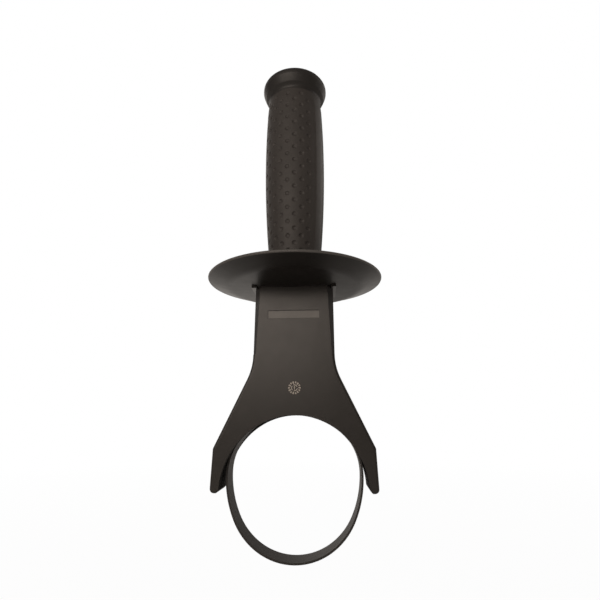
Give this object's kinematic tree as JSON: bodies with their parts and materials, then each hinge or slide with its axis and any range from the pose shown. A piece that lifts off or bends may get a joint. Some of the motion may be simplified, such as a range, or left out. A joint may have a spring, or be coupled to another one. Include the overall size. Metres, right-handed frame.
{
  "type": "power tool side handle",
  "caption": "Side handle for a power tool: barrel grip with round hand guard on a forked bracket whose steel band clamps the tool's round collar.",
  "frame": {"origin": "centre of the circle that the lower part of the band loop follows, which is the axis of the tool's collar, midway across the band", "axes": "+Z along the grip from the collar to the grip's head, +Y along the collar's axis away from the viewer, +X to the right"},
  "size_m": [0.0986, 0.0986, 0.279],
  "materials": {
    "bracket_plastic": "dark charcoal glass-filled nylon, satin",
    "guard_plastic": "dark charcoal moulded plastic, satin",
    "grip_plastic": "dark charcoal moulded plastic with dimples, matte",
    "band_steel": "blackened spring steel strip, satin",
    "plated_steel": "zinc-plated steel"
  },
  "bodies": {
    "bracket": {"bracket": "bracket_plastic", "hand_guard": "guard_plastic", "thrust_washer": "plated_steel"},
    "grip": {"grip": "grip_plastic", "grip_insert": "plated_steel"},
    "band": {"clamp_band": "band_steel", "anchor_block": "plated_steel", "rivet_front": "plated_steel", "rivet_back": "plated_steel", "tension_rod": "plated_steel"}
  },
  "joints": [
    {"name": "grip_turn", "type": "hinge", "parent": "bracket", "child": "grip", "pos_m": [0, 0, 0.12], "axis": [0, 0, -1], "range_deg": [0, 2304]},
    {"name": "band_slide", "type": "slide", "parent": "bracket", "child": "band", "axis": [0, 0, 1], "range_m": [0, 0.008]}
  ],
  "couplings": [
    {"joint": "band_slide", "follows": "grip_turn", "m_per_rad": 0.00019894}
  ]
}
